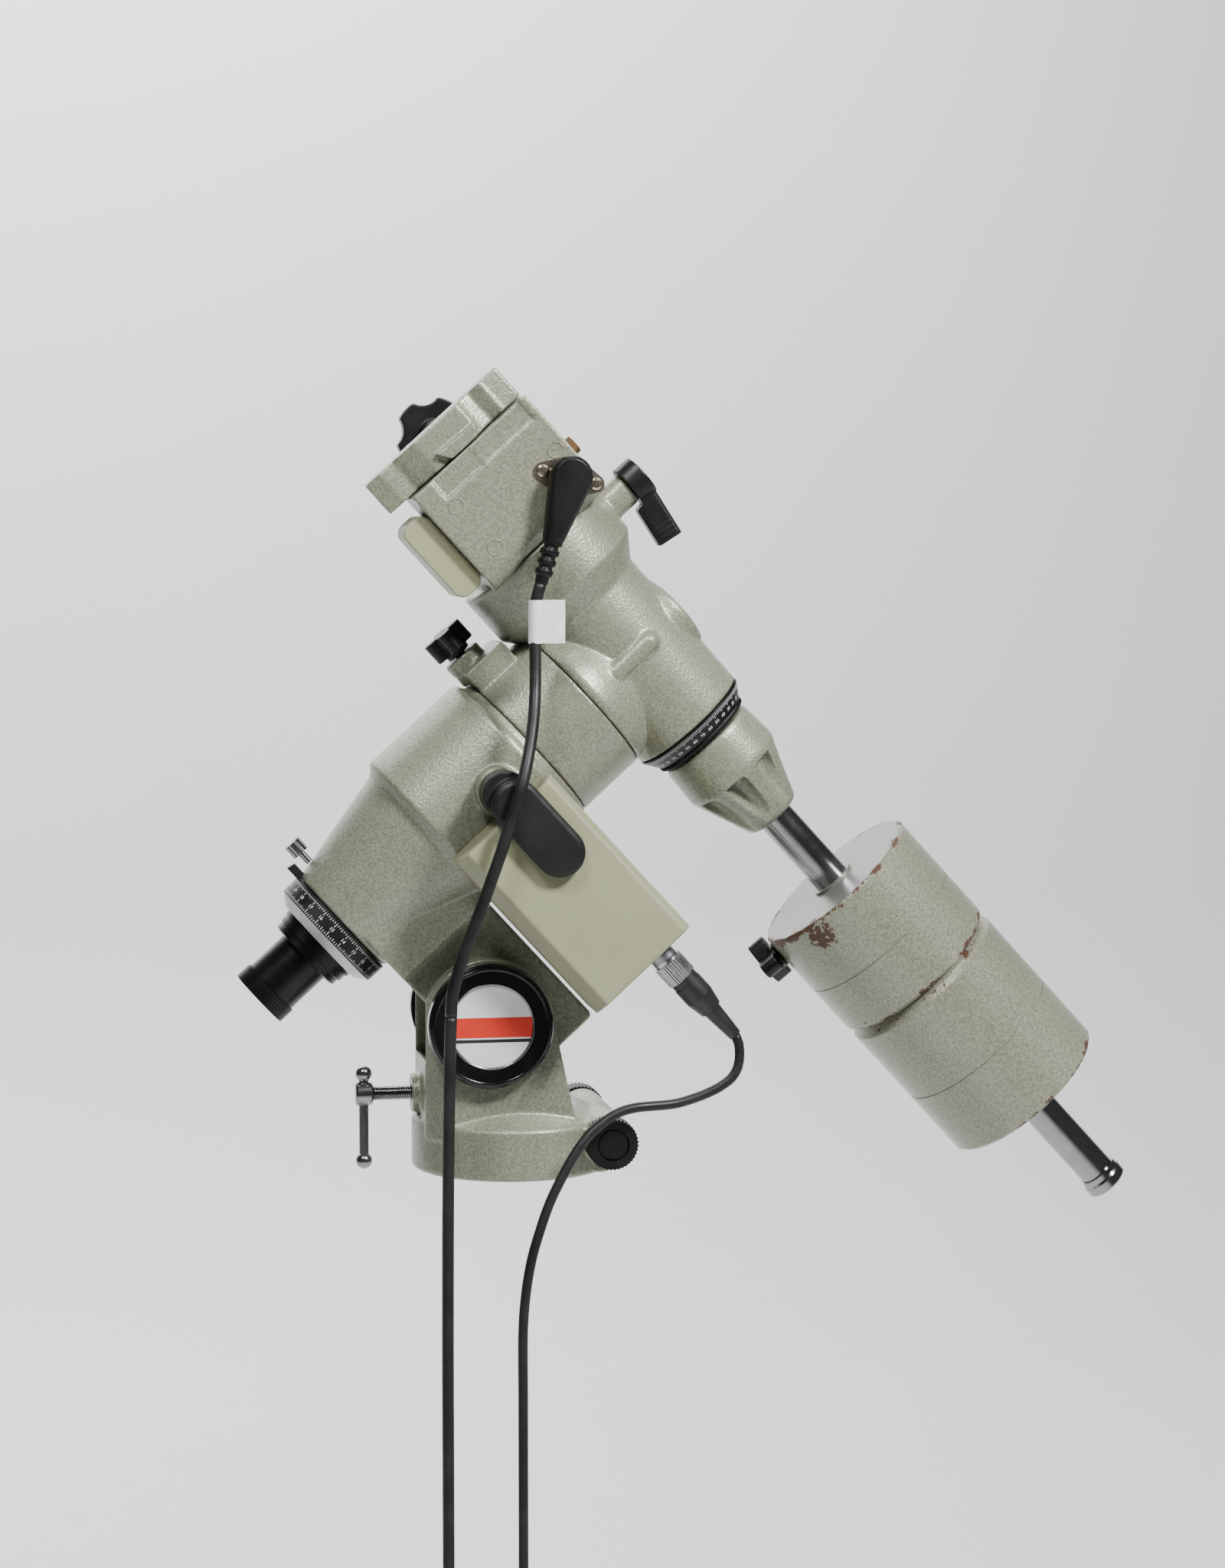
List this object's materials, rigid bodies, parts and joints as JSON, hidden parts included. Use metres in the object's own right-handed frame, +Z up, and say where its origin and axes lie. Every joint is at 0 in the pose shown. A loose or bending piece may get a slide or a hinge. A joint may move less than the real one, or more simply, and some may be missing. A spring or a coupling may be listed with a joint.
{
  "type": "equatorial telescope mount",
  "caption": "German equatorial mount head with driven polar and declination axes, polar scope, setting circles, dovetail saddle, counterweight shaft with sliding weights and free leads.",
  "frame": {"origin": "centre of the base's underside, where it sits on a tripod hub", "axes": "+Z up, +X towards the raised end of the polar axis, Y across the fork"},
  "size_m": [0.4961, 0.177, 0.7281],
  "materials": {
    "hammertone_paint": "light grey-green hammertone enamel",
    "upper_weight_paint": "hammertone enamel, chipped to rust at the edges",
    "lower_weight_paint": "hammertone enamel",
    "cream_paint": "satin cream enamel",
    "black_gloss": "glossy",
    "badge_label": "printed label in plain colour bands",
    "black_plastic": "satin",
    "cover_rubber": "matte",
    "steel": "turned",
    "chromed_steel": "bright plated",
    "motor_steel": "satin",
    "socket_steel": "worn plate",
    "ring_aluminium": "satin turned",
    "rusty_bolt": "aged, brown",
    "gear_brass": "machined",
    "bar_chrome": "polished",
    "anodised_black": "black anodised",
    "circle_black": "black anodised with white graduations",
    "scope_glass": "polished",
    "tag_paper": "laminated paper",
    "lead_jacket": "satin"
  },
  "bodies": {
    "base": {"azimuth_base": "hammertone_paint", "altitude_pivot": "steel", "altitude_cap_front": "black_gloss", "altitude_cap_rear": "black_gloss", "cap_badge": "badge_label", "dec_lead_coil": "lead_jacket", "dec_lead_far_plug": "black_plastic", "ra_lead_coil": "lead_jacket", "ra_lead_far_plug": "black_plastic"},
    "ra_head": {"ra_housing": "hammertone_paint", "ra_bearings": "steel", "ra_motor_case": "cream_paint", "ra_motor": "motor_steel", "ra_gear_cover": "cover_rubber", "ra_plug": "black_plastic", "polar_scope_tube": "anodised_black", "polar_scope_lenses": "scope_glass", "circle_retaining_ring": "ring_aluminium", "ra_lead": "lead_jacket", "dec_lead_lower": "lead_jacket"},
    "dec_head": {"ra_shaft": "steel", "ra_collar": "hammertone_paint", "dec_housing": "hammertone_paint", "dec_bearings": "steel", "polar_window_cap": "hammertone_paint", "dec_motor_case": "hammertone_paint", "dec_case_bolt": "rusty_bolt", "dec_gear_cover": "cream_paint", "dec_motor": "motor_steel", "dec_socket": "socket_steel", "dec_plug": "black_plastic", "cable_tag": "tag_paper", "dec_lead_upper": "lead_jacket"},
    "saddle": {"dec_shaft": "steel", "saddle": "hammertone_paint", "counterweight_bar": "bar_chrome"},
    "azimuth_knob_near": {"azimuth_knob_near": "black_plastic"},
    "azimuth_knob_far": {"azimuth_knob_far": "black_plastic"},
    "altitude_screw": {"altitude_screw": "chromed_steel"},
    "altitude_tbar": {"altitude_tbar": "chromed_steel"},
    "eyepiece_ring": {"eyepiece_ring": "anodised_black"},
    "ra_setting_circle": {"ra_setting_circle": "circle_black"},
    "ra_circle_screw": {"ra_circle_screw": "chromed_steel"},
    "ra_worm_wheel": {"ra_worm_wheel": "gear_brass"},
    "ra_worm": {"ra_worm": "steel"},
    "ra_clutch_knob": {"ra_clutch_knob": "black_plastic"},
    "dec_clutch_lever": {"dec_clutch_lever": "black_plastic"},
    "dec_worm_wheel": {"dec_worm_wheel": "gear_brass"},
    "dec_worm": {"dec_worm": "steel"},
    "dec_setting_circle": {"dec_setting_circle": "circle_black"},
    "clamp_jaw": {"clamp_jaw": "hammertone_paint"},
    "clamp_knob": {"clamp_knob": "black_plastic"},
    "shaft_nut": {"shaft_nut": "hammertone_paint"},
    "bar_end_stop": {"bar_end_stop": "bar_chrome"},
    "upper_weight": {"upper_weight": "upper_weight_paint"},
    "lower_weight": {"lower_weight": "lower_weight_paint"},
    "upper_weight_knob": {"upper_weight_knob": "black_plastic"},
    "lower_weight_knob": {"lower_weight_knob": "black_plastic"}
  },
  "joints": [
    {"name": "altitude_tilt", "type": "hinge", "parent": "base", "child": "ra_head", "pos_m": [-0.017, 0, 0.0825], "axis": [0, -1, 0], "range_deg": [-27.5, 27.5], "deforming": ["dec_lead_lower", "ra_lead"]},
    {"name": "altitude_screw_travel", "type": "slide", "parent": "base", "child": "altitude_screw", "axis": [1, 0, 0], "range_m": [-0.0195, 0.0195]},
    {"name": "altitude_tbar_slide", "type": "slide", "parent": "altitude_screw", "child": "altitude_tbar", "axis": [0, 0, 1], "range_m": [0, 0.026]},
    {"name": "azimuth_knob_near_turn", "type": "hinge", "parent": "base", "child": "azimuth_knob_near", "pos_m": [0.046, -0.05, 0.0197], "axis": [0, -1, 0], "continuous": true},
    {"name": "azimuth_knob_far_turn", "type": "hinge", "parent": "base", "child": "azimuth_knob_far", "pos_m": [0.046, 0.05, 0.0197], "axis": [0, 1, 0], "continuous": true},
    {"name": "ra_turn", "type": "hinge", "parent": "ra_head", "child": "dec_head", "pos_m": [0.02354, 0, 0.24104], "axis": [0.7373, 0, 0.6756], "range_deg": [-90, 90], "deforming": ["dec_lead_upper"]},
    {"name": "ra_worm_wheel_turn", "type": "hinge", "parent": "ra_head", "child": "ra_worm_wheel", "pos_m": [-0.01288, 0, 0.20767], "axis": [0.7373, 0, 0.6756], "continuous": true},
    {"name": "ra_worm_turn", "type": "hinge", "parent": "ra_head", "child": "ra_worm", "pos_m": [0.01381, 0, 0.17855], "axis": [0, 1, 0], "continuous": true},
    {"name": "ra_circle_turn", "type": "hinge", "parent": "ra_head", "child": "ra_setting_circle", "pos_m": [-0.09634, 0, 0.13119], "axis": [0.7373, 0, 0.6756], "continuous": true},
    {"name": "ra_circle_screw_turn", "type": "hinge", "parent": "ra_head", "child": "ra_circle_screw", "pos_m": [-0.11358, 0, 0.17236], "axis": [-0.6756, 0, 0.7373], "range_deg": [-180, 180]},
    {"name": "eyepiece_focus", "type": "hinge", "parent": "ra_head", "child": "eyepiece_ring", "pos_m": [-0.1335, 0, 0.09714], "axis": [0.7373, 0, 0.6756], "range_deg": [-180, 180]},
    {"name": "ra_clutch_turn", "type": "hinge", "parent": "dec_head", "child": "ra_clutch_knob", "pos_m": [-0.02749, 0, 0.27838], "axis": [-0.6756, 0, 0.7373], "range_deg": [-180, 180]},
    {"name": "dec_clutch_turn", "type": "hinge", "parent": "dec_head", "child": "dec_clutch_lever", "pos_m": [0.06374, 0, 0.3674], "axis": [0.7373, 0, 0.6756], "range_deg": [-60, 60]},
    {"name": "dec_turn", "type": "hinge", "parent": "dec_head", "child": "saddle", "pos_m": [0.02356, 0, 0.32244], "axis": [-0.6756, 0, 0.7373], "continuous": true},
    {"name": "dec_worm_wheel_turn", "type": "hinge", "parent": "dec_head", "child": "dec_worm_wheel", "pos_m": [-0.00617, 0, 0.35488], "axis": [-0.6756, 0, 0.7373], "continuous": true},
    {"name": "dec_worm_turn", "type": "hinge", "parent": "dec_head", "child": "dec_worm", "pos_m": [-0.00617, -0.033, 0.35488], "axis": [0.7373, 0, 0.6756], "continuous": true},
    {"name": "dec_circle_turn", "type": "hinge", "parent": "dec_head", "child": "dec_setting_circle", "pos_m": [0.10193, 0, 0.23691], "axis": [-0.6756, 0, 0.7373], "continuous": true},
    {"name": "clamp_jaw_slide", "type": "slide", "parent": "saddle", "child": "clamp_jaw", "axis": [0, -1, 0], "range_m": [0, 0.003]},
    {"name": "clamp_knob_turn", "type": "hinge", "parent": "saddle", "child": "clamp_knob", "pos_m": [-0.0324, 0.06, 0.39757], "axis": [0, 1, 0], "range_deg": [0, 720]},
    {"name": "shaft_nut_turn", "type": "hinge", "parent": "saddle", "child": "shaft_nut", "pos_m": [0.12625, 0, 0.21037], "axis": [-0.6756, 0, 0.7373], "continuous": true},
    {"name": "bar_end_stop_turn", "type": "hinge", "parent": "saddle", "child": "bar_end_stop", "pos_m": [0.33838, 0, -0.02114], "axis": [-0.6756, 0, 0.7373], "continuous": true},
    {"name": "upper_weight_slide", "type": "slide", "parent": "saddle", "child": "upper_weight", "axis": [0.6756, 0, -0.7373], "range_m": [-0.045, 0]},
    {"name": "lower_weight_slide", "type": "slide", "parent": "saddle", "child": "lower_weight", "axis": [0.6756, 0, -0.7373], "range_m": [0, 0.055]},
    {"name": "upper_weight_knob_turn", "type": "hinge", "parent": "upper_weight", "child": "upper_weight_knob", "pos_m": [0.14806, 0.01144, 0.10693], "axis": [-0.7212, 0.2079, -0.6608], "continuous": true},
    {"name": "lower_weight_knob_turn", "type": "hinge", "parent": "lower_weight", "child": "lower_weight_knob", "pos_m": [0.25785, 0.055, 0.06675], "axis": [0, 1, 0], "continuous": true}
  ],
  "couplings": [
    {"joint": "altitude_screw_travel", "follows": "altitude_tilt", "m_per_rad": 0.0405},
    {"joint": "ra_worm_turn", "follows": "ra_worm_wheel_turn", "ratio": 144},
    {"joint": "dec_worm_turn", "follows": "dec_worm_wheel_turn", "ratio": 144},
    {"joint": "clamp_jaw_slide", "follows": "clamp_knob_turn", "m_per_rad": 0.00019894}
  ]
}
